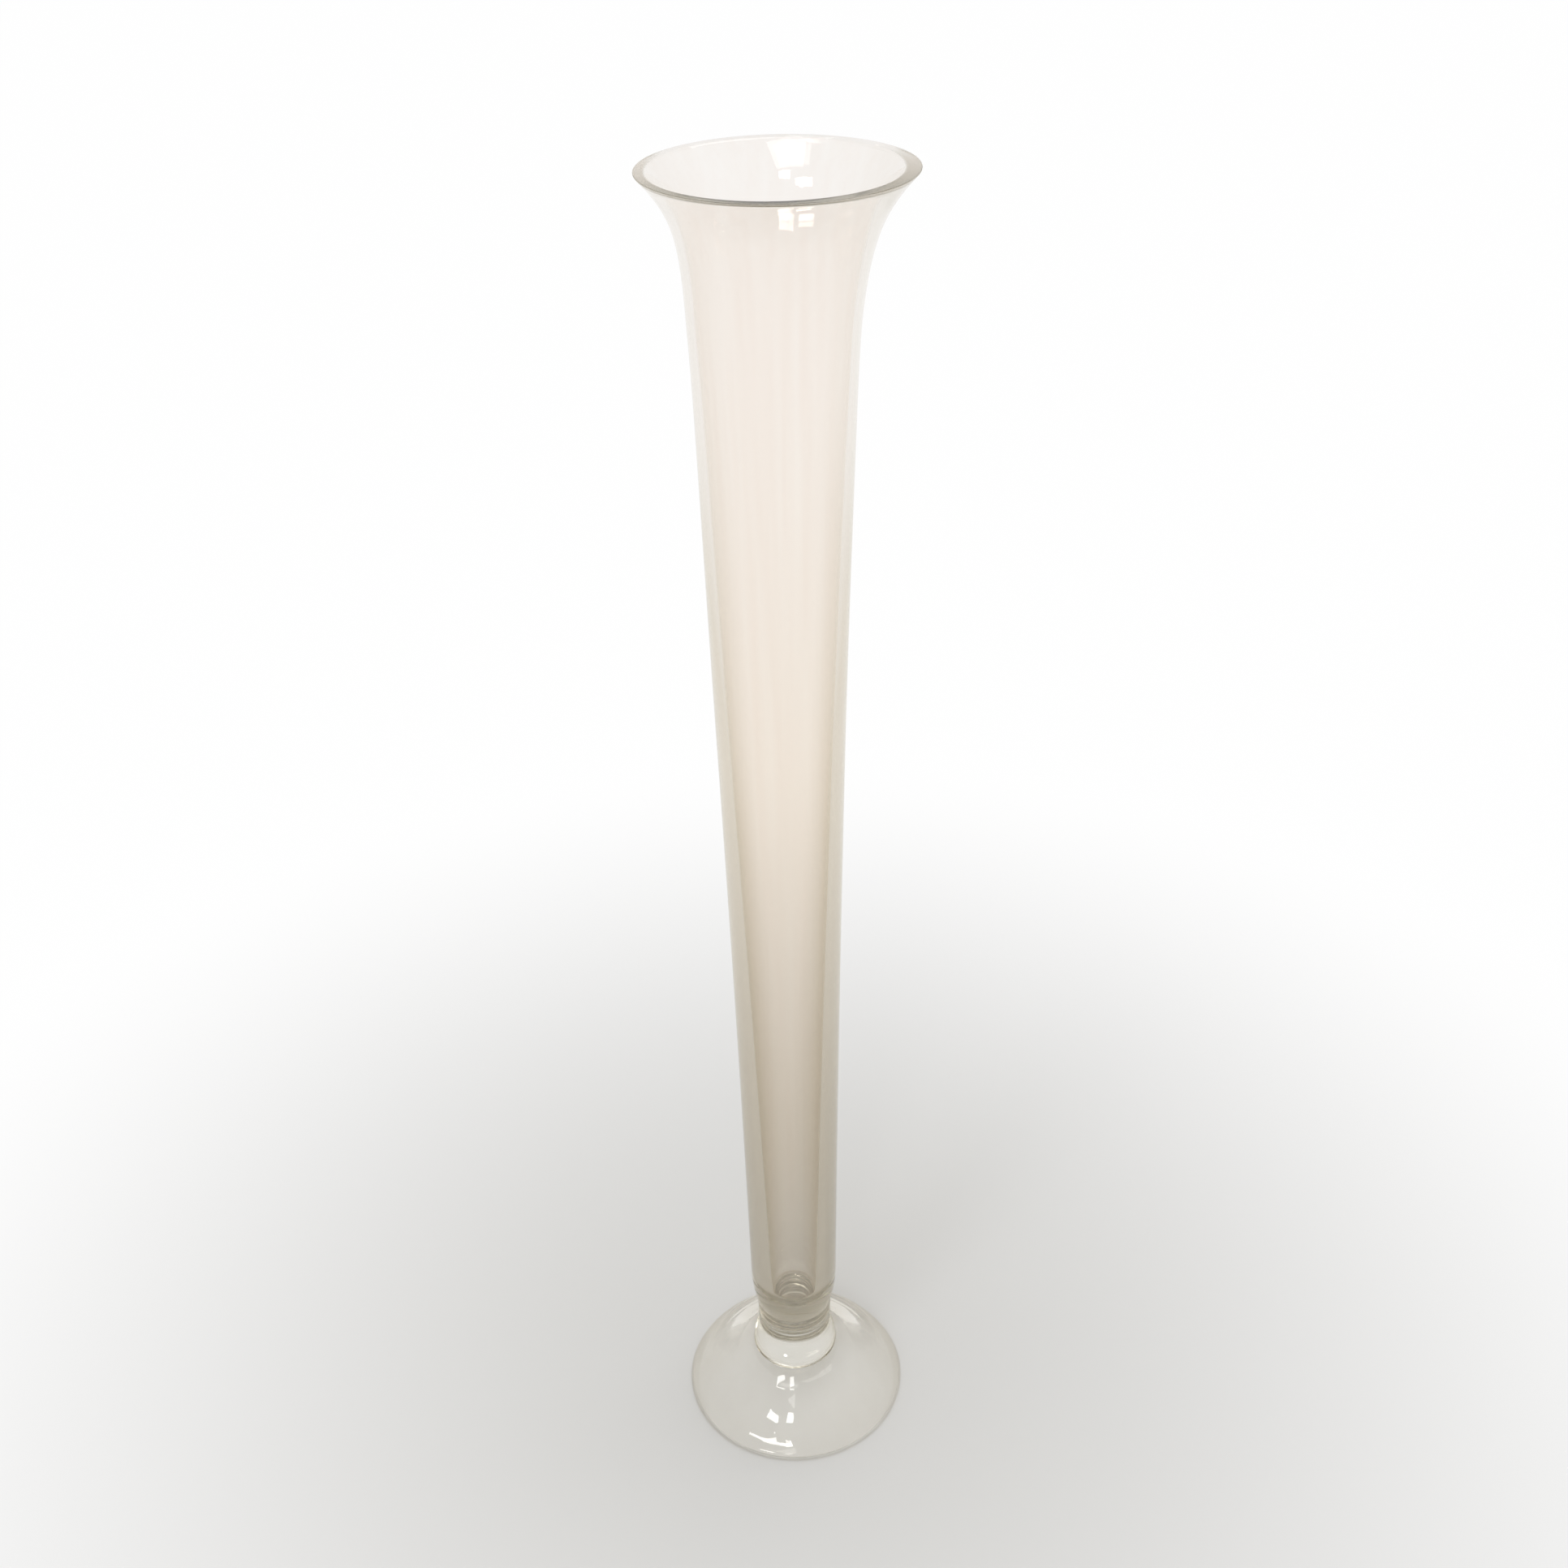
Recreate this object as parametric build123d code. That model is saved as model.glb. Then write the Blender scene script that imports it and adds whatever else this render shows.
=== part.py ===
from build123d import *
import os
from math import acos, cos, radians, sin, tan

# Trumpet vase: a tall footed vase of clear glass, made of three gathers that are joined hot.
# Every piece is turned about the Z axis. The vase stands on z = 0, and all sizes are in millimetres.
# Slopes are given from level and leans from upright, both in degrees.

# Whole vase
total_height = 800.0

# Trumpet body, outside
mouth_diameter = 128.0        # outer edge of the cut rim
flare_height = 120.0          # from the top of the taper up to the rim
flare_lean = 41.5             # lean of the wall at the rim
flare_start_pull = 86.0       # how far the line of the taper holds on before it turns out
flare_rim_pull = 30.7         # how far the lean of the rim reaches back down the wall
taper_top_diameter = 77.6
taper_bottom_diameter = 55.2
taper_bottom_lean = 0.62
shoulder_radius = 140.0       # rounding of the body's lower end
draw_radius = 45.0            # hollow curve below the shoulder, where the glass is drawn in
draw_depth = 4.2              # how far it is drawn in from the bottom of the taper

# Trumpet body, inside
rim_width = 6.4               # cut and polished face of the rim
rim_bevel = 0.6               # small bevels on the two edges of that face
taper_top_wall = 4.4          # wall where the flare begins
cavity_bottom_lean = 1.5      # the cavity is narrower at the bottom, so the wall gets thicker there
cavity_floor_diameter = 30.0  # the cavity ends in a half ball
cavity_floor_depth = 15.3     # solid glass between the cavity and the joint with the stem

# Stem
stem_height = 30.8            # from the joint with the foot to the joint with the body
stem_swell = 3.6              # how much wider the stem gets at the joint with the foot
stem_swell_lean = 12.7        # lean of the swelling's straight upper side

# Foot
foot_diameter = 142.6
foot_edge_height = 3.0        # upright edge at the widest place
standing_ring_width = 4.2     # flat ring that the vase stands on, before it is bevelled
standing_ring_bevel = 0.9     # bevels on both of its edges
dome_edge_slope = 60.0        # where the dome meets the upright edge
dome_edge_radius = 30.0       # rounding between the dome's straight flank and its edge
dome_slope = 35.5             # the straight flank, up to the joint with the stem
hollow_top_diameter = 58.0    # flat top of the hollow under the foot
hollow_top_wall = 5.0         # glass between the edge of that top and the flank


def across(slope, length):
    """A step at right angles to a line that falls outwards at a slope, towards its upper side."""
    return Vector(sin(radians(slope)), cos(radians(slope))) * length


def along(lean, length):
    """A step upwards along a line that leans outwards."""
    return Vector(sin(radians(lean)), cos(radians(lean))) * length


def turned(*edges):
    """The solid made by turning a closed outline, drawn as radius and height, about the Z axis."""
    return revolve(Plane.XZ * make_face(edges), axis=Axis.Z)


# Outline of the foot's dome, from its edge up to the joint with the stem
foot_radius = foot_diameter / 2
stem_radius = taper_bottom_diameter / 2 - draw_depth
stem_base_radius = stem_radius + stem_swell
dome_edge = Vector(foot_radius, foot_edge_height)
dome_edge_centre = dome_edge - across(dome_edge_slope, dome_edge_radius)
flank_bottom = dome_edge_centre + across(dome_slope, dome_edge_radius)
flank_rise = (flank_bottom.X - stem_base_radius) * tan(radians(dome_slope))

# Heights of the two hot joints
foot_joint_height = flank_bottom.Y + flank_rise
body_joint_height = foot_joint_height + stem_height


def foot():
    """The domed foot: straight flank, rounded and upright edge, standing ring and hollow."""
    flank_top = Vector(stem_base_radius, foot_joint_height)
    dome_edge_middle = dome_edge_centre + across((dome_edge_slope + dome_slope) / 2, dome_edge_radius)

    # The hollow's top keeps a wall's thickness away from the line of the flank.
    hollow_edge = Vector(foot_radius - standing_ring_width, 0)
    hollow_flank = flank_bottom - across(dome_slope, hollow_top_wall)
    hollow_rise = (hollow_flank.X - hollow_top_diameter / 2) * tan(radians(dome_slope))
    hollow_top = Vector(hollow_top_diameter / 2, hollow_flank.Y + hollow_rise)

    whole = turned(
        Line((0, foot_joint_height), flank_top),
        Line(flank_top, flank_bottom),
        ThreePointArc(flank_bottom, dome_edge_middle, dome_edge),
        Line(dome_edge, (foot_radius, 0)),
        Line((foot_radius, 0), hollow_edge),
        Line(hollow_edge, hollow_top),
        Line(hollow_top, (0, hollow_top.Y)),
        Line((0, hollow_top.Y), (0, foot_joint_height)),
    )
    standing_ring_edges = whole.edges().group_by(Axis.Z)[0]
    return chamfer(standing_ring_edges, standing_ring_bevel)


def stem():
    """The short solid stem: straight above, with a rounded swelling that sits on the foot."""
    base_edge = Vector(stem_base_radius, foot_joint_height)
    base_centre = Vector(0, foot_joint_height)
    swelling_top = base_centre + across(90 - stem_swell_lean, stem_base_radius)
    swelling_middle = base_centre + across(90 - stem_swell_lean / 2, stem_base_radius)
    swelling_rise = (swelling_top.X - stem_radius) / tan(radians(stem_swell_lean))
    waist = Vector(stem_radius, swelling_top.Y + swelling_rise)
    stem_top = Vector(stem_radius, body_joint_height)
    return turned(
        Line(base_centre, base_edge),
        ThreePointArc(base_edge, swelling_middle, swelling_top),
        Line(swelling_top, waist),
        Line(waist, stem_top),
        Line(stem_top, (0, body_joint_height)),
        Line((0, body_joint_height), base_centre),
    )


def trumpet_body():
    """The blown body: drawn-in bottom, shoulder, hollow-sided taper, flared mouth and cavity."""
    # The hollow draw and the rounded shoulder run into each other at one lean.
    bottom_lean = radians(taper_bottom_lean)
    joined_radius = shoulder_radius + draw_radius
    draw_lean = acos((shoulder_radius * cos(bottom_lean) + draw_radius - draw_depth) / joined_radius)
    draw_width = draw_radius * (1 - cos(draw_lean))
    draw_height = draw_radius * sin(draw_lean)
    shoulder_height = shoulder_radius * (sin(draw_lean) - sin(bottom_lean))

    upright = Vector(0, 1)
    joint_edge = Vector(stem_radius, body_joint_height)
    shoulder_bottom = joint_edge + Vector(draw_width, draw_height)
    taper_bottom = Vector(taper_bottom_diameter / 2, shoulder_bottom.Y + shoulder_height)
    taper_top = Vector(taper_top_diameter / 2, total_height - flare_height)
    # The bevel takes off the sharp edge of the rim, so the outline reaches past it.
    rim_outside = Vector(mouth_diameter / 2 + rim_bevel * sin(radians(flare_lean)), total_height)
    draw = TangentArc(joint_edge, shoulder_bottom, tangent=upright)
    shoulder = TangentArc(shoulder_bottom, taper_bottom, tangent=draw % 1)
    taper = TangentArc(taper_bottom, taper_top, tangent=shoulder % 1)
    flare_start = (taper % 1) * flare_start_pull
    flare_end = along(flare_lean, flare_rim_pull)
    flare = Bezier(taper_top, taper_top + flare_start, rim_outside - flare_end, rim_outside)

    cavity_radius = cavity_floor_diameter / 2
    cavity_floor = Vector(0, body_joint_height + cavity_floor_depth)
    cavity_centre = cavity_floor + upright * cavity_radius
    cavity_bottom = cavity_centre + across(90 + cavity_bottom_lean, cavity_radius)
    cavity_top = taper_top - Vector(taper_top_wall, 0)
    floor = TangentArc(cavity_bottom, cavity_floor, tangent=along(cavity_bottom_lean, -1))
    cavity = TangentArc(cavity_bottom, cavity_top, tangent=along(cavity_bottom_lean, 1))
    cavity_flare_start = (cavity % 1) * flare_start_pull
    rim_inside = rim_outside - Vector(rim_width, 0)
    cavity_flare = Bezier(cavity_top, cavity_top + cavity_flare_start, rim_inside - flare_end, rim_inside)

    whole = turned(
        draw,
        shoulder,
        taper,
        flare,
        Line(rim_outside, rim_inside),
        cavity_flare,
        cavity,
        floor,
        Line(cavity_floor, (0, body_joint_height)),
        Line((0, body_joint_height), joint_edge),
    )
    rim_edges = whole.edges().group_by(Axis.Z)[-1]
    return chamfer(rim_edges, rim_bevel)


os.makedirs("parts", exist_ok=True)
export_step(foot(), "parts/foot.step")
export_step(stem(), "parts/stem.step")
export_step(trumpet_body(), "parts/trumpet_body.step")
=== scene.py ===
from math import cos, pi, radians, sin

import bpy
from mathutils import Matrix, Vector


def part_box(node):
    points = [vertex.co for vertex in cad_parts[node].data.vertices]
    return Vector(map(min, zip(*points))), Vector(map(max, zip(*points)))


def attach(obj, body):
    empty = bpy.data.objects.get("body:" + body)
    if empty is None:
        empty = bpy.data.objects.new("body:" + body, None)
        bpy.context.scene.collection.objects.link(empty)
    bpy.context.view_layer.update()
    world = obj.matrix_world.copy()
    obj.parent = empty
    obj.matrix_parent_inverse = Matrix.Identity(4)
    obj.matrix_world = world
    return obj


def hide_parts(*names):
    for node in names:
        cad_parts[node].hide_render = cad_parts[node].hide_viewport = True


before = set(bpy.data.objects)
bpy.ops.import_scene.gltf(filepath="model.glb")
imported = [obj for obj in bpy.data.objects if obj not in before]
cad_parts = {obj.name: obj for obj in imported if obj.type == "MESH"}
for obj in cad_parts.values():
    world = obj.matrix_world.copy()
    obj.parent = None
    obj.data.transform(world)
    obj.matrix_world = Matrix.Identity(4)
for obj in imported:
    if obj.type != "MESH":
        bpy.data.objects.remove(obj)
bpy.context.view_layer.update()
scene = bpy.context.scene


# Foot: a domed disc of clear glass, shaped hot, with a fire-rounded edge. It is hollow underneath and
# ground flat on the narrow ring that it stands on. The stem is joined hot to its top.
foot_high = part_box("foot")[1]
foot_radius = foot_high.x
foot_joint_height = foot_high.z
stem_base_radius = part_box("stem")[1].x
joint_fillet = 0.0016           # the glass creeps up the stem at the joint
flank_lean = radians(35.5)      # slope of the dome's straight flank
flank_sway = 0.0013             # worked by hand, the flank sways a little
edge_radius = 0.0016            # half-round edge
edge_lean = radians(60)         # slope of the dome where it meets that edge
ring_inside_radius = 0.0680     # standing ring
hollow_corner_radius = 0.0670
hollow_side_radius = 0.0666
hollow_side_height = 0.0006
hollow_top_radius = 0.0290
hollow_top_height = 0.0303
hollow_crown_radius = 0.0200
hollow_rounded_share = 0.2      # share of the hollow's side that is rounded over into its top
solid_cords = (0.975, 0.970, 0.960, 1), (0.995, 0.992, 0.985, 1)
# The edge colour below is painted shade that darkens the foot and stem where they are seen edge on.
solid_painted_edge_shade = (0.72, 0.66, 0.54, 1)


def at(radius, height):
    """A point of an outline, on the plane that is turned about the vertical axis."""
    return Vector((radius, 0, height))


def bend(*pulls, rows):
    """The points of a smooth curve after its first point. The pulls between its ends shape it."""
    points = []
    for row in range(1, rows + 1):
        mix = list(pulls)
        while len(mix) > 1:
            mix = [a.lerp(b, row / rows) for a, b in zip(mix, mix[1:])]
        points.append(mix[0])
    return points


def turned_glass(name, outline):
    """A closed round piece: an outline is drawn point by point from the axis and spun about it."""
    bpy.ops.object.select_all(action="DESELECT")
    bpy.ops.mesh.primitive_plane_add(size=0.001, location=outline[0])
    piece = bpy.context.object
    piece.name = name
    bpy.ops.object.mode_set(mode="EDIT")
    bpy.ops.mesh.select_all(action="SELECT")
    bpy.ops.mesh.merge(type="CENTER")
    for start, end in zip(outline, outline[1:]):
        bpy.ops.mesh.extrude_vertices_move(TRANSFORM_OT_translate={"value": end - start})
    bpy.ops.mesh.select_all(action="SELECT")
    bpy.ops.mesh.spin(steps=360, angle=2 * pi, center=(0, 0, 0), axis=(0, 0, 1))
    bpy.ops.mesh.select_all(action="SELECT")
    bpy.ops.mesh.remove_doubles(threshold=1e-6)
    bpy.ops.mesh.normals_make_consistent(inside=False)
    bpy.ops.object.mode_set(mode="OBJECT")
    bpy.ops.object.transform_apply(location=True, rotation=True, scale=True)
    bpy.ops.object.shade_smooth_by_angle(angle=radians(40))
    return piece


def clear_glass(name, joint_heights, wave_scale, cord_tints, painted_edge_shade_tone, depth_strength):
    """Clear blown glass with a faint warm tint, and painted shade that darkens it where it is seen edge on.
    Light goes straight through the fused joints.
    """
    glass = bpy.data.materials.new(name)
    glass.use_nodes = True
    nodes, links = glass.node_tree.nodes, glass.node_tree.links
    surface = nodes["Principled BSDF"]
    surface.inputs["Transmission Weight"].default_value = 1
    place = nodes.new("ShaderNodeTexCoord")

    # Drawing the hot glass leaves cords along the piece. They differ a little in tint
    # and stand out a little.
    deep_cord, pale_cord = cord_tints
    cords_place = nodes.new("ShaderNodeMapping")
    cords_place.inputs["Scale"].default_value = (150, 150, 3)
    cords = nodes.new("ShaderNodeTexNoise")
    cords.inputs["Scale"].default_value = 1
    cords.inputs["Detail"].default_value = 2
    cords_share = nodes.new("ShaderNodeMapRange")
    cords_share.inputs["From Min"].default_value = 0.3
    cords_share.inputs["From Max"].default_value = 0.7
    cords_tint = nodes.new("ShaderNodeMix")
    cords_tint.name = "cords_tint"
    cords_tint.data_type = "RGBA"
    cords_tint.inputs["A"].default_value = deep_cord
    cords_tint.inputs["B"].default_value = pale_cord
    cords_relief = nodes.new("ShaderNodeBump")
    cords_relief.inputs["Strength"].default_value = 1
    cords_relief.inputs["Distance"].default_value = 0.000005
    links.new(place.outputs["Object"], cords_place.inputs["Vector"])
    links.new(cords_place.outputs["Vector"], cords.inputs["Vector"])
    links.new(cords.outputs["Fac"], cords_relief.inputs["Height"])
    links.new(cords.outputs["Fac"], cords_share.inputs["Value"])
    links.new(cords_share.outputs["Result"], cords_tint.inputs["Factor"])

    # Seen edge on, the wall is painted a deeper, darker tint: painted shade, not a tint of the glass.
    facing = nodes.new("ShaderNodeLayerWeight")
    painted_edge_shade_share = nodes.new("ShaderNodeMapRange")
    painted_edge_shade_share.name = "painted_edge_shade_share"
    painted_edge_shade_share.inputs["From Min"].default_value = 0.25
    painted_edge_shade_share.inputs["From Max"].default_value = 0.9
    painted_edge_shade_tint = nodes.new("ShaderNodeMix")
    painted_edge_shade_tint.name = "painted_edge_shade_tint"
    painted_edge_shade_tint.data_type = "RGBA"
    painted_edge_shade_tint.inputs["B"].default_value = painted_edge_shade_tone
    links.new(facing.outputs["Facing"], painted_edge_shade_share.inputs["Value"])
    links.new(painted_edge_shade_share.outputs["Result"], painted_edge_shade_tint.inputs["Factor"])
    links.new(cords_tint.outputs["Result"], painted_edge_shade_tint.inputs["A"])

    # Slow waves in the wall, as blown glass has them.
    waves = nodes.new("ShaderNodeTexNoise")
    waves.inputs["Scale"].default_value = wave_scale
    waves.inputs["Detail"].default_value = 1
    waves_relief = nodes.new("ShaderNodeBump")
    waves_relief.inputs["Strength"].default_value = 1
    waves_relief.inputs["Distance"].default_value = 0.0001
    links.new(place.outputs["Object"], waves.inputs["Vector"])
    links.new(waves.outputs["Fac"], waves_relief.inputs["Height"])
    links.new(cords_relief.outputs["Normal"], waves_relief.inputs["Normal"])
    links.new(waves_relief.outputs["Normal"], surface.inputs["Normal"])

    # Handling leaves faint smears on the polish.
    smears = nodes.new("ShaderNodeTexNoise")
    smears.inputs["Scale"].default_value = 60
    smears.inputs["Detail"].default_value = 4
    polish = nodes.new("ShaderNodeMapRange")
    polish.name = "polish"
    polish.inputs["From Min"].default_value = 0.55
    polish.inputs["From Max"].default_value = 0.80
    polish.inputs["To Min"].default_value = 0
    polish.inputs["To Max"].default_value = 0.02
    links.new(place.outputs["Object"], smears.inputs["Vector"])
    links.new(smears.outputs["Fac"], polish.inputs["Value"])
    links.new(polish.outputs["Result"], surface.inputs["Roughness"])

    # The flat faces at the joints are fused in the real vase, so they neither tint
    # nor bend nor mirror light.
    height = nodes.new("ShaderNodeSeparateXYZ")
    height.name = "height"
    fused = nodes.new("ShaderNodeMath")
    fused.operation = "MAXIMUM"
    fused.inputs[0].default_value = 0
    fused.inputs[1].default_value = 0
    fused_tint = nodes.new("ShaderNodeMix")
    fused_tint.data_type = "RGBA"
    fused_tint.inputs["B"].default_value = (1, 1, 1, 1)
    links.new(place.outputs["Object"], height.inputs["Vector"])
    for joint, joint_height in enumerate(joint_heights):
        at_joint = nodes.new("ShaderNodeMath")
        at_joint.operation = "COMPARE"
        at_joint.inputs[1].default_value = joint_height
        at_joint.inputs[2].default_value = 0.00001
        links.new(height.outputs["Z"], at_joint.inputs[0])
        links.new(at_joint.outputs["Value"], fused.inputs[joint])
    links.new(fused.outputs["Value"], fused_tint.inputs["Factor"])
    links.new(painted_edge_shade_tint.outputs["Result"], fused_tint.inputs["A"])
    links.new(fused_tint.outputs["Result"], surface.inputs["Base Color"])

    # Light that has been mirrored more than twice in the wall leaves it. Glass bends light with an
    # index of 1.5, and a face with an index of 1 lets it straight through.
    ray = nodes.new("ShaderNodeLightPath")
    leaving = nodes.new("ShaderNodeMath")
    leaving.operation = "GREATER_THAN"
    leaving.inputs[1].default_value = 2.5
    straight = nodes.new("ShaderNodeMath")
    straight.operation = "MAXIMUM"
    bending = nodes.new("ShaderNodeMapRange")
    bending.inputs["To Min"].default_value = 1.5
    bending.inputs["To Max"].default_value = 1
    links.new(ray.outputs["Glossy Depth"], leaving.inputs[0])
    links.new(fused.outputs["Value"], straight.inputs[0])
    links.new(leaving.outputs["Value"], straight.inputs[1])
    links.new(straight.outputs["Value"], bending.inputs["Value"])
    links.new(bending.outputs["Result"], surface.inputs["IOR"])

    # Lamps shine through the wall, dimmed, besides the light that the wall bends.
    lamp_light = nodes.new("ShaderNodeBsdfTransparent")
    lamp_light.inputs["Color"].default_value = (0.80, 0.79, 0.77, 1)
    glass_or_lamp_light = nodes.new("ShaderNodeMixShader")
    links.new(ray.outputs["Is Shadow Ray"], glass_or_lamp_light.inputs["Fac"])
    links.new(surface.outputs["BSDF"], glass_or_lamp_light.inputs[1])
    links.new(lamp_light.outputs["BSDF"], glass_or_lamp_light.inputs[2])

    # Thick glass takes a little more of the blue, so it looks warmer.
    depth = nodes.new("ShaderNodeVolumeAbsorption")
    depth.inputs["Color"].default_value = (0.433, 0.40, 0.267, 1)
    depth.inputs["Density"].default_value = depth_strength
    output = nodes["Material Output"]
    links.new(glass_or_lamp_light.outputs["Shader"], output.inputs["Surface"])
    links.new(depth.outputs["Volume"], output.inputs["Volume"])
    return glass


def ground_face(glass, face_height, glass_side):
    """Gives a flat face the satin that grinding leaves. The glass lies above it at 1 and below it at -1."""
    satin_end = 0.0006 * glass_side
    satin_full = 0.0002 * glass_side
    nodes, links = glass.node_tree.nodes, glass.node_tree.links
    satin = nodes.new("ShaderNodeMapRange")
    satin.inputs["From Min"].default_value = face_height + satin_end
    satin.inputs["From Max"].default_value = face_height + satin_full
    satin.inputs["To Min"].default_value = 0
    satin.inputs["To Max"].default_value = 0.22
    polish_or_satin = nodes.new("ShaderNodeMath")
    polish_or_satin.operation = "MAXIMUM"
    links.new(nodes["height"].outputs["Z"], satin.inputs["Value"])
    links.new(nodes["polish"].outputs["Result"], polish_or_satin.inputs[0])
    links.new(satin.outputs["Result"], polish_or_satin.inputs[1])
    links.new(polish_or_satin.outputs["Value"], nodes["Principled BSDF"].inputs["Roughness"])


foot_seam_height = foot_joint_height + joint_fillet
flank_down = at(cos(flank_lean), -sin(flank_lean))
flank_out = at(sin(flank_lean), cos(flank_lean))
flank_top = at(stem_base_radius, foot_joint_height)
flank_start = flank_top + flank_down * joint_fillet
edge_centre = at(foot_radius - edge_radius, edge_radius)
edge_start = edge_centre + at(sin(edge_lean), cos(edge_lean)) * edge_radius
# The flank's line and the edge's line cross here, and the shoulder curve is drawn round the crossing.
flank_slope = sin(flank_lean) / cos(flank_lean)
edge_slope = sin(edge_lean) / cos(edge_lean)
edge_line = edge_start.z + edge_start.x * edge_slope
flank_line = flank_top.z + flank_top.x * flank_slope
crossing_radius = (edge_line - flank_line) / (edge_slope - flank_slope)
crossing = at(crossing_radius, flank_line - crossing_radius * flank_slope)
flank_end = crossing - flank_down * (edge_start - crossing).length
edge_turn = at(foot_radius, edge_start.z - (foot_radius - edge_start.x) * edge_slope)
edge_side = at(foot_radius, edge_radius)
edge_corner = at(foot_radius, 0)
ring_outside = at(foot_radius - edge_radius, 0)
ring_inside = at(ring_inside_radius, 0)
hollow_corner = at(hollow_corner_radius, 0)
hollow_side = at(hollow_side_radius, hollow_side_height)
hollow_top = at(hollow_top_radius, hollow_top_height)
hollow_shoulder = hollow_top.lerp(hollow_side, hollow_rounded_share)
hollow_crown = at(hollow_crown_radius, hollow_top_height)
foot_outline = [at(0, foot_seam_height)]
foot_outline += bend(foot_outline[-1], at(stem_base_radius, foot_seam_height), rows=4)
foot_outline += bend(foot_outline[-1], flank_top, flank_start, rows=8)
foot_outline += bend(
    flank_start,
    flank_start.lerp(flank_end, 1 / 3) - flank_out * flank_sway,
    flank_start.lerp(flank_end, 2 / 3) + flank_out * flank_sway,
    flank_end,
    rows=30,
)
foot_outline += bend(flank_end, crossing, edge_start, rows=24)
foot_outline += bend(edge_start, edge_turn, edge_side, rows=5)
foot_outline += bend(edge_side, edge_corner, ring_outside, rows=10)
foot_outline += bend(ring_outside, ring_inside, rows=2)
foot_outline += bend(ring_inside, hollow_corner, hollow_side, rows=6)
foot_outline += bend(hollow_side, hollow_shoulder, rows=24)
foot_outline += bend(hollow_shoulder, hollow_top, hollow_crown, rows=16)
foot_outline += bend(hollow_crown, at(0, hollow_top_height), rows=8)
foot_outline += [foot_outline[0]]
foot = turned_glass("foot_glass", foot_outline)
foot_glass = clear_glass(
    "foot_clear_glass",
    joint_heights=[foot_seam_height],
    wave_scale=90,
    cord_tints=solid_cords,
    painted_edge_shade_tone=solid_painted_edge_shade,
    depth_strength=10,
)
ground_face(foot_glass, face_height=0, glass_side=1)
foot.data.materials.append(foot_glass)
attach(foot, "root")
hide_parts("foot")


# Stem: a short solid drop of the same glass. It is straight above and swells to a rounded cushion where
# it is set on the foot, and both of its ends are joined hot, so there is no gap and no fastener.
stem_top_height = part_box("stem")[1].z
stem_radius = 0.0234
joint_slit = 0.00004            # keeps the faces at a joint apart
stem_bottom_height = foot_seam_height + joint_slit
waist_height = 0.0575
swelling_pull = at(0, 0.0085)
ridge_pull = at(0.0007, 0)
ridge_start_height = 0.0604
ridge_end_height = 0.0652


def ridge(start, end, rows):
    """A low ridge, as the tools leave them round the joint of stem and body."""
    return bend(start, start.lerp(end, 0.5) + ridge_pull, end, rows=rows)


stem_base = at(stem_base_radius, stem_bottom_height)
waist = at(stem_radius, waist_height)
ridge_start = at(stem_radius, ridge_start_height)
ridge_end = at(stem_radius, ridge_end_height)
stem_outline = [at(0, stem_bottom_height)]
stem_outline += bend(stem_outline[-1], stem_base, rows=4)
stem_outline += bend(stem_base, stem_base + swelling_pull, waist - swelling_pull, waist, rows=40)
stem_outline += bend(waist, ridge_start, rows=4)
stem_outline += ridge(ridge_start, ridge_end, rows=12)
stem_outline += bend(ridge_end, at(stem_radius, stem_top_height), rows=6)
stem_outline += bend(stem_outline[-1], at(0, stem_top_height), rows=4)
stem_outline += [stem_outline[0]]
stem = turned_glass("stem_glass", stem_outline)
stem_glass = clear_glass(
    "stem_clear_glass",
    joint_heights=[stem_bottom_height, stem_top_height],
    wave_scale=60,
    cord_tints=solid_cords,
    painted_edge_shade_tone=solid_painted_edge_shade,
    depth_strength=10,
)
stem.data.materials.append(stem_glass)
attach(stem, "root")
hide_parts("stem")


# Trumpet body: one long blown gather. Its bottom is thick and drawn in to the stem, its side is slightly
# hollow, and its mouth is flared hot, then cut, ground flat and polished at the rim.
body_low, body_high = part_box("trumpet_body")
body_bottom_height = body_low.z + joint_slit
rim_height = body_high.z
first_ridge_end = at(0.02345, 0.0727)
second_ridge_end = at(0.02375, 0.0772)
draw_lean = radians(11)         # the bottom widens at this lean above the joint
draw_pull = 0.0065
shoulder_pull = 0.0190
taper_lean = radians(0.62)
taper_bottom = at(0.0276, 0.10644)
flare_height = 0.120
taper_top = at(0.0388, rim_height - flare_height)
flare_lean = radians(41.5)
flare_start_pull = 0.086
flare_rim_pull = 0.0307
rim_width = 0.0064
rim_rounding = 0.0010
rim_corner = 0.0004             # the corner that is rounded stands out this far past the rim's widest place
rim_support = at(0.0003, 0)     # keeps the shading of the cut face flat
wall_below_flare = 0.0044
cavity_radius = 0.0150
cavity_floor_height = 0.0840
cavity_lean = radians(1.5)
quarter_round = 0.5523          # a curve with pulls of this share of its radius is a quarter circle
bore_shift = 0.0011
bore_shift_reach = 0.06
neck_bend = 0.0015
neck_bend_reach = 0.30
mouth_bend = 0.0028
mouth_bend_reach = 0.08
body_cords = (0.982, 0.946, 0.918, 1), (1.0, 0.982, 0.964, 1)
# The edge colour below is painted shade that darkens the body where it is seen edge on.
body_painted_edge_shade = (0.68, 0.60, 0.47, 1)


def rise(lean):
    """A step of length 1 up a side that leans outwards."""
    return at(sin(lean), cos(lean))


def side_middle(bottom, top, lean):
    """The pull halfway up a long side that leaves its bottom at a lean."""
    middle_height = (bottom.z + top.z) / 2
    return at(bottom.x + sin(lean) * (middle_height - bottom.z), middle_height)


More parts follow.
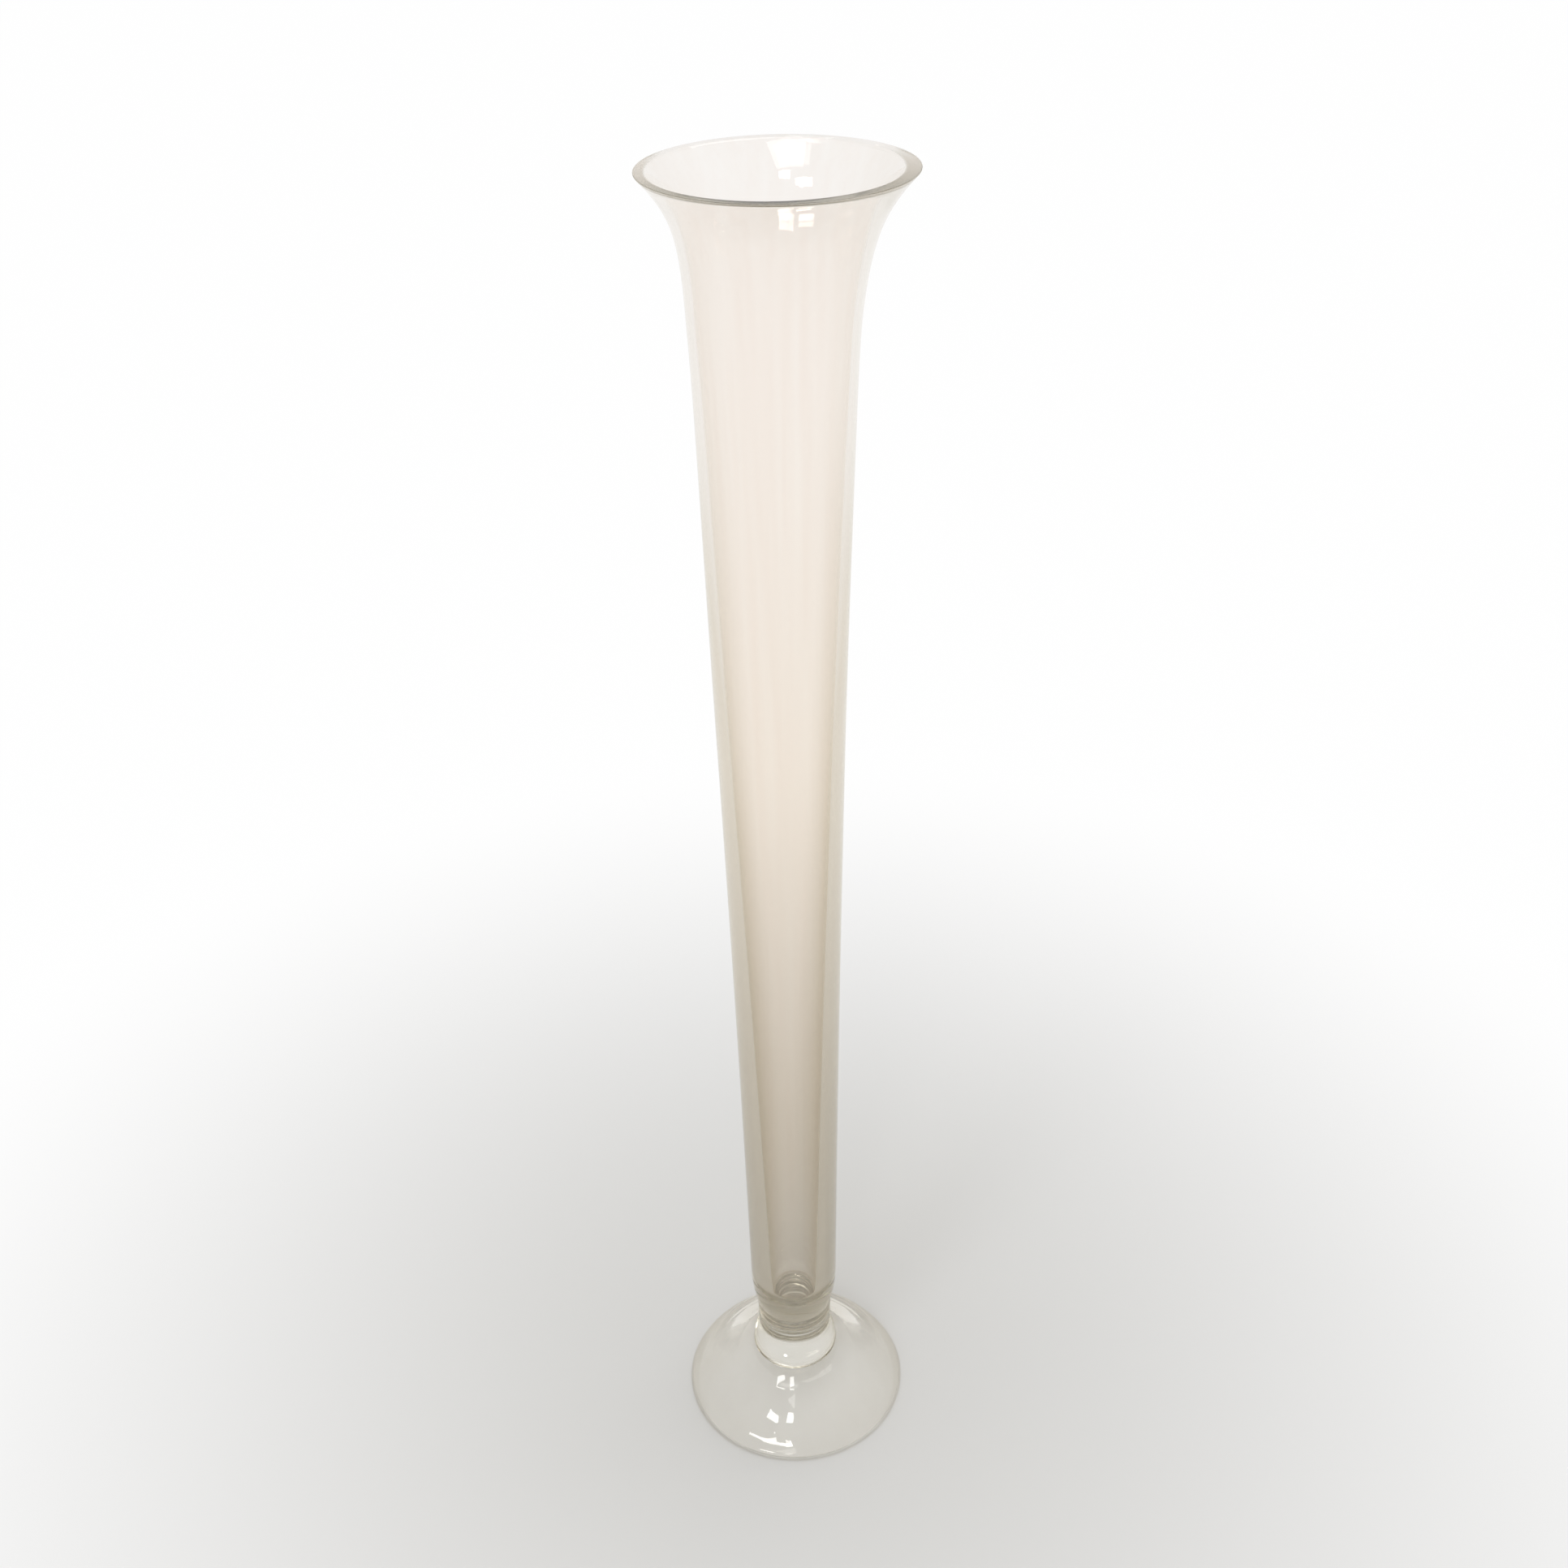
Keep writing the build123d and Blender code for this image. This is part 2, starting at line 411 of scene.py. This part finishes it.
body_joint = at(stem_radius, body_bottom_height)
taper_middle = side_middle(taper_bottom, taper_top, taper_lean)
taper_end = (taper_top - taper_middle).normalized()
flare_end = rise(flare_lean)
rim_outside = at(body_high.x + rim_corner, rim_height)
rim_inside = rim_outside - at(rim_width, 0)
rim_face_outside = rim_outside - at(rim_rounding, 0)
rim_face_inside = rim_inside + at(rim_rounding, 0)
rim_middle_radius = (rim_outside.x + rim_inside.x) / 2
cavity_top = taper_top - at(wall_below_flare, 0)
cavity_bottom = at(cavity_radius, cavity_floor_height + cavity_radius)
cavity_middle = side_middle(cavity_bottom, cavity_top, cavity_lean)
cavity_end = (cavity_top - cavity_middle).normalized()
cavity_floor = at(0, cavity_floor_height)
floor_pull = cavity_radius * quarter_round
outer_flare = [
    taper_top,
    taper_top + taper_end * flare_start_pull,
    rim_outside - flare_end * flare_rim_pull,
    rim_outside - flare_end * rim_rounding,
]
inner_flare = [
    rim_inside - flare_end * rim_rounding,
    rim_inside - flare_end * flare_rim_pull,
    cavity_top + cavity_end * flare_start_pull,
    cavity_top,
]
body_outline = [at(0, body_bottom_height)]
body_outline += bend(body_outline[-1], body_joint, rows=4)
body_outline += ridge(body_joint, first_ridge_end, rows=8)
body_outline += ridge(first_ridge_end, second_ridge_end, rows=8)
body_outline += bend(
    second_ridge_end,
    second_ridge_end + rise(draw_lean) * draw_pull,
    taper_bottom - rise(taper_lean) * shoulder_pull,
    taper_bottom,
    rows=24,
)
body_outline += bend(taper_bottom, taper_middle, taper_top, rows=36)
body_outline += bend(*outer_flare, rows=44)
body_outline += bend(body_outline[-1], rim_outside, rim_face_outside, rows=6)
body_outline += [rim_face_outside - rim_support, rim_face_inside + rim_support, rim_face_inside]
body_outline += bend(body_outline[-1], rim_inside, inner_flare[0], rows=6)
body_outline += bend(*inner_flare, rows=44)
body_outline += bend(cavity_top, cavity_middle, cavity_bottom, rows=36)
body_outline += bend(
    cavity_bottom,
    cavity_bottom - rise(cavity_lean) * floor_pull,
    cavity_floor + at(floor_pull, 0),
    cavity_floor,
    rows=20,
)
body_outline += [body_outline[0]]
body = turned_glass("trumpet_body_glass", body_outline)


def select_points(piece, wanted):
    """Leaves a piece in edit mode with the points selected for which wanted is true."""
    bpy.ops.object.mode_set(mode="EDIT")
    bpy.ops.mesh.select_mode(type="VERT")
    bpy.ops.mesh.select_all(action="DESELECT")
    bpy.ops.object.mode_set(mode="OBJECT")
    for point in piece.data.vertices:
        point.select = wanted(point)
    bpy.ops.object.mode_set(mode="EDIT")


def pull_sideways(distance, reach):
    """Moves the selected points, and those within reach of them less and less."""
    bpy.ops.transform.translate(
        value=(distance, 0, 0),
        use_proportional_edit=True,
        proportional_edit_falloff="SMOOTH",
        proportional_size=reach,
    )


def is_inside(point):
    """Whether a point of the body lies on its inner wall or on the inner half of the cut face."""
    if point.co.z > rim_height - 1e-6:
        return point.co.xy.length < rim_middle_radius
    return point.normal.xy.dot(point.co.xy) < -0.001


def is_at_rim(point):
    """Whether a point that isn't hidden lies in the rim's rounding or above it."""
    return not point.hide and point.co.z > rim_height - rim_rounding


# Inside, the mouth is a little off the middle, so the rim is wider on one side.
select_points(body, is_inside)
bpy.ops.mesh.hide(unselected=True)
bpy.ops.object.mode_set(mode="OBJECT")
select_points(body, is_at_rim)
pull_sideways(-bore_shift, bore_shift_reach)
bpy.ops.mesh.reveal(select=False)
bpy.ops.object.mode_set(mode="OBJECT")
# The mouth was bent a little to one side when it was flared by hand.
select_points(body, is_at_rim)
pull_sideways(neck_bend, neck_bend_reach)
pull_sideways(mouth_bend, mouth_bend_reach)
bpy.ops.object.mode_set(mode="OBJECT")
outer_face = body.data.attributes.new("outer_face", "FLOAT", "POINT")
for point in body.data.vertices:
    outer_face.data[point.index].value = 0 if is_inside(point) else 1
body_glass = clear_glass(
    "body_clear_glass",
    joint_heights=[body_bottom_height],
    wave_scale=22,
    cord_tints=body_cords,
    painted_edge_shade_tone=body_painted_edge_shade,
    depth_strength=15,
)
ground_face(body_glass, face_height=rim_height, glass_side=-1)
nodes, links = body_glass.node_tree.nodes, body_glass.node_tree.links
height = nodes["height"]
# The lower body is painted a little darker and warmer, a painted shade that fades out at the joint and
# towards the mouth. The ramp's places are heights.
painted_warm_shade = nodes.new("ShaderNodeValToRGB")
painted_warm_shade.color_ramp.interpolation = "EASE"
bottom_tint, top_tint = painted_warm_shade.color_ramp.elements
bottom_tint.position = 0.09
bottom_tint.color = (1, 1, 1, 1)
top_tint.position = rim_height
top_tint.color = (1, 0.991, 0.986, 1)
painted_warm_shade.color_ramp.elements.new(0.24).color = (1, 0.975, 0.940, 1)
painted_warm_shade.color_ramp.elements.new(0.40).color = (1, 0.976, 0.943, 1)
cords_with_painted_shade = nodes.new("ShaderNodeMix")
cords_with_painted_shade.data_type = "RGBA"
cords_with_painted_shade.blend_type = "MULTIPLY"
cords_with_painted_shade.inputs["Factor"].default_value = 1
links.new(height.outputs["Z"], painted_warm_shade.inputs["Fac"])
links.new(nodes["cords_tint"].outputs["Result"], cords_with_painted_shade.inputs["A"])
links.new(painted_warm_shade.outputs["Color"], cords_with_painted_shade.inputs["B"])
links.new(cords_with_painted_shade.outputs["Result"], nodes["painted_edge_shade_tint"].inputs["A"])
# Its edges are painted darker from the mouth down, and darkest on the outer face: painted shade that stands
# in for the light that runs along inside the thick wall.
painted_edge_shade_by_height = nodes.new("ShaderNodeMapRange")
painted_edge_shade_by_height.inputs["From Min"].default_value = 0.78
painted_edge_shade_by_height.inputs["From Max"].default_value = 0.30
painted_edge_shade_by_height.inputs["To Min"].default_value = 0.2
painted_edge_shade_by_height.inputs["To Max"].default_value = 1.2
painted_outer_face_shade = nodes.new("ShaderNodeMapRange")
painted_outer_face_shade.inputs["From Min"].default_value = 0.68
painted_outer_face_shade.inputs["From Max"].default_value = 0.46
painted_outer_face_shade.inputs["To Min"].default_value = 0
painted_outer_face_shade.inputs["To Max"].default_value = 2.2
on_outer_face = nodes.new("ShaderNodeAttribute")
on_outer_face.attribute_name = "outer_face"
painted_edge_shade_depth = nodes.new("ShaderNodeMath")
painted_edge_shade_depth.operation = "MULTIPLY_ADD"
links.new(height.outputs["Z"], painted_edge_shade_by_height.inputs["Value"])
links.new(height.outputs["Z"], painted_outer_face_shade.inputs["Value"])
links.new(painted_outer_face_shade.outputs["Result"], painted_edge_shade_depth.inputs[0])
links.new(on_outer_face.outputs["Fac"], painted_edge_shade_depth.inputs[1])
links.new(painted_edge_shade_by_height.outputs["Result"], painted_edge_shade_depth.inputs[2])
links.new(painted_edge_shade_depth.outputs["Value"], nodes["painted_edge_shade_share"].inputs["To Max"])
body.data.materials.append(body_glass)
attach(body, "root")
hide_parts("trumpet_body")


# Floor: a plain pale matt sheet that the vase stands on, wide enough to fill every view. Seen and mirrored,
# it glows white far off and fades to the grey lit sheet near the vase, a painted pool of shade round the
# foot, where it keeps the vase's shadow.
bpy.ops.object.select_all(action="DESELECT")
bpy.ops.mesh.primitive_plane_add(size=60, location=(0, 0, 0))
floor = bpy.context.object
floor.name = "floor"
floor_paper = bpy.data.materials.new("floor_paper")
floor_paper.use_nodes = True
nodes, links = floor_paper.node_tree.nodes, floor_paper.node_tree.links
paper = nodes["Principled BSDF"]
paper.inputs["Base Color"].default_value = (0.60, 0.595, 0.58, 1)
paper.inputs["Roughness"].default_value = 0.8
paper.inputs["Specular IOR Level"].default_value = 0.2
white = nodes.new("ShaderNodeEmission")
place = nodes.new("ShaderNodeTexCoord")
from_vase = nodes.new("ShaderNodeVectorMath")
from_vase.operation = "LENGTH"
# The white glow grows with distance from the vase, so the floor is painted darker round the vase: a painted
# pool of shade.
painted_shade_fade = nodes.new("ShaderNodeMapRange")
painted_shade_fade.interpolation_type = "SMOOTHSTEP"
painted_shade_fade.inputs["From Min"].default_value = 0.05
painted_shade_fade.inputs["From Max"].default_value = 0.8
painted_shade_fade.inputs["To Min"].default_value = 0.0
painted_shade_fade.inputs["To Max"].default_value = 0.99
ray = nodes.new("ShaderNodeLightPath")
seen_or_mirrored = nodes.new("ShaderNodeMath")
seen_or_mirrored.operation = "MAXIMUM"
seen = nodes.new("ShaderNodeMath")
seen.operation = "MAXIMUM"
share = nodes.new("ShaderNodeMath")
share.operation = "MULTIPLY"
paper_or_white = nodes.new("ShaderNodeMixShader")
links.new(place.outputs["Object"], from_vase.inputs[0])
links.new(from_vase.outputs["Value"], painted_shade_fade.inputs["Value"])
links.new(ray.outputs["Is Camera Ray"], seen_or_mirrored.inputs[0])
links.new(ray.outputs["Is Glossy Ray"], seen_or_mirrored.inputs[1])
links.new(seen_or_mirrored.outputs["Value"], seen.inputs[0])
links.new(ray.outputs["Is Transmission Ray"], seen.inputs[1])
links.new(seen.outputs["Value"], share.inputs[0])
links.new(painted_shade_fade.outputs["Result"], share.inputs[1])
links.new(share.outputs["Value"], paper_or_white.inputs["Fac"])
links.new(paper.outputs["BSDF"], paper_or_white.inputs[1])
links.new(white.outputs["Emission"], paper_or_white.inputs[2])
links.new(paper_or_white.outputs["Shader"], nodes["Material Output"].inputs["Surface"])
floor.data.materials.append(floor_paper)


# Studio light: a wide soft box overhead, soft panes in front on the left that show as highlights, and
# a white studio, which is pale low down and grey above where the vase mirrors it.
below_rim = (0, 0, 0.77)
in_mouth = (0, 0, 0.78)
in_foot = (0, 0, 0.02)


def soft_box(name, place, aim, width, height, power):
    """A rectangular soft lamp that faces the point aim."""
    bpy.ops.object.light_add(type="AREA", location=place)
    lamp = bpy.context.object
    lamp.name = name
    lamp.data.shape = "RECTANGLE"
    lamp.data.size = width
    lamp.data.size_y = height
    lamp.data.energy = power
    lamp.rotation_euler = (Vector(aim) - Vector(place)).to_track_quat("-Z", "Y").to_euler()


soft_box("top_box", (0.5, 0.5, 2.7), aim=(0, 0, 0.2), width=1.4, height=1.4, power=12)
soft_box("low_pane", (-0.577, -2.247, 1.525), aim=below_rim, width=0.75, height=0.25, power=7)
soft_box("low_pane", (-1.501, -1.792, 1.555), aim=below_rim, width=0.82, height=0.19, power=6)
soft_box("mouth_pane", (-0.36, -0.90, 2.76), aim=in_mouth, width=0.90, height=0.85, power=6)
soft_box("high_pane", (-0.84, -1.19, 1.89), aim=in_foot, width=0.42, height=0.12, power=1.7)
soft_box("high_pane", (-0.84, -1.19, 2.03), aim=in_foot, width=0.42, height=0.12, power=1.7)
soft_box("slim_pane", (-0.30, -1.60, 2.45), aim=in_foot, width=0.26, height=0.30, power=3)
studio = bpy.data.worlds.new("studio")
studio.use_nodes = True
nodes, links = studio.node_tree.nodes, studio.node_tree.links
background = nodes["Background"]
background.inputs["Color"].default_value = (1, 1, 1, 1)
way = nodes.new("ShaderNodeTexCoord")
way_up = nodes.new("ShaderNodeSeparateXYZ")
paleness = nodes.new("ShaderNodeMapRange")
paleness.inputs["From Min"].default_value = 0
paleness.inputs["From Max"].default_value = 0.45
paleness.inputs["To Min"].default_value = 0.95
paleness.inputs["To Max"].default_value = 0.75
ray = nodes.new("ShaderNodeLightPath")
seen = nodes.new("ShaderNodeMath")
seen.operation = "MAXIMUM"
white_or_pale = nodes.new("ShaderNodeMath")
white_or_pale.operation = "MAXIMUM"
links.new(way.outputs["Generated"], way_up.inputs["Vector"])
links.new(way_up.outputs["Z"], paleness.inputs["Value"])
links.new(paleness.outputs["Result"], white_or_pale.inputs[0])
links.new(ray.outputs["Is Camera Ray"], seen.inputs[0])
links.new(ray.outputs["Is Transmission Ray"], seen.inputs[1])
links.new(seen.outputs["Value"], white_or_pale.inputs[1])
links.new(white_or_pale.outputs["Value"], background.inputs["Strength"])
scene.world = studio
scene.view_settings.view_transform = "Standard"


# Camera: the photograph's angle, looking down at the vase from in front, with a slight roll.
camera_place = Vector((0, -0.80373, 0.98905))
camera_down = radians(32.498)
camera_pan = radians(0.073)
camera_roll = radians(1.315)
bpy.ops.object.camera_add()
camera = bpy.context.object
camera.data.sensor_width = 36
camera.data.lens = 40.555
turn = Matrix.Rotation(-camera_pan, 4, "Z") @ Matrix.Rotation(pi / 2 - camera_down, 4, "X")
camera.matrix_world = Matrix.Translation(camera_place) @ turn @ Matrix.Rotation(-camera_roll, 4, "Z")
scene.camera = camera
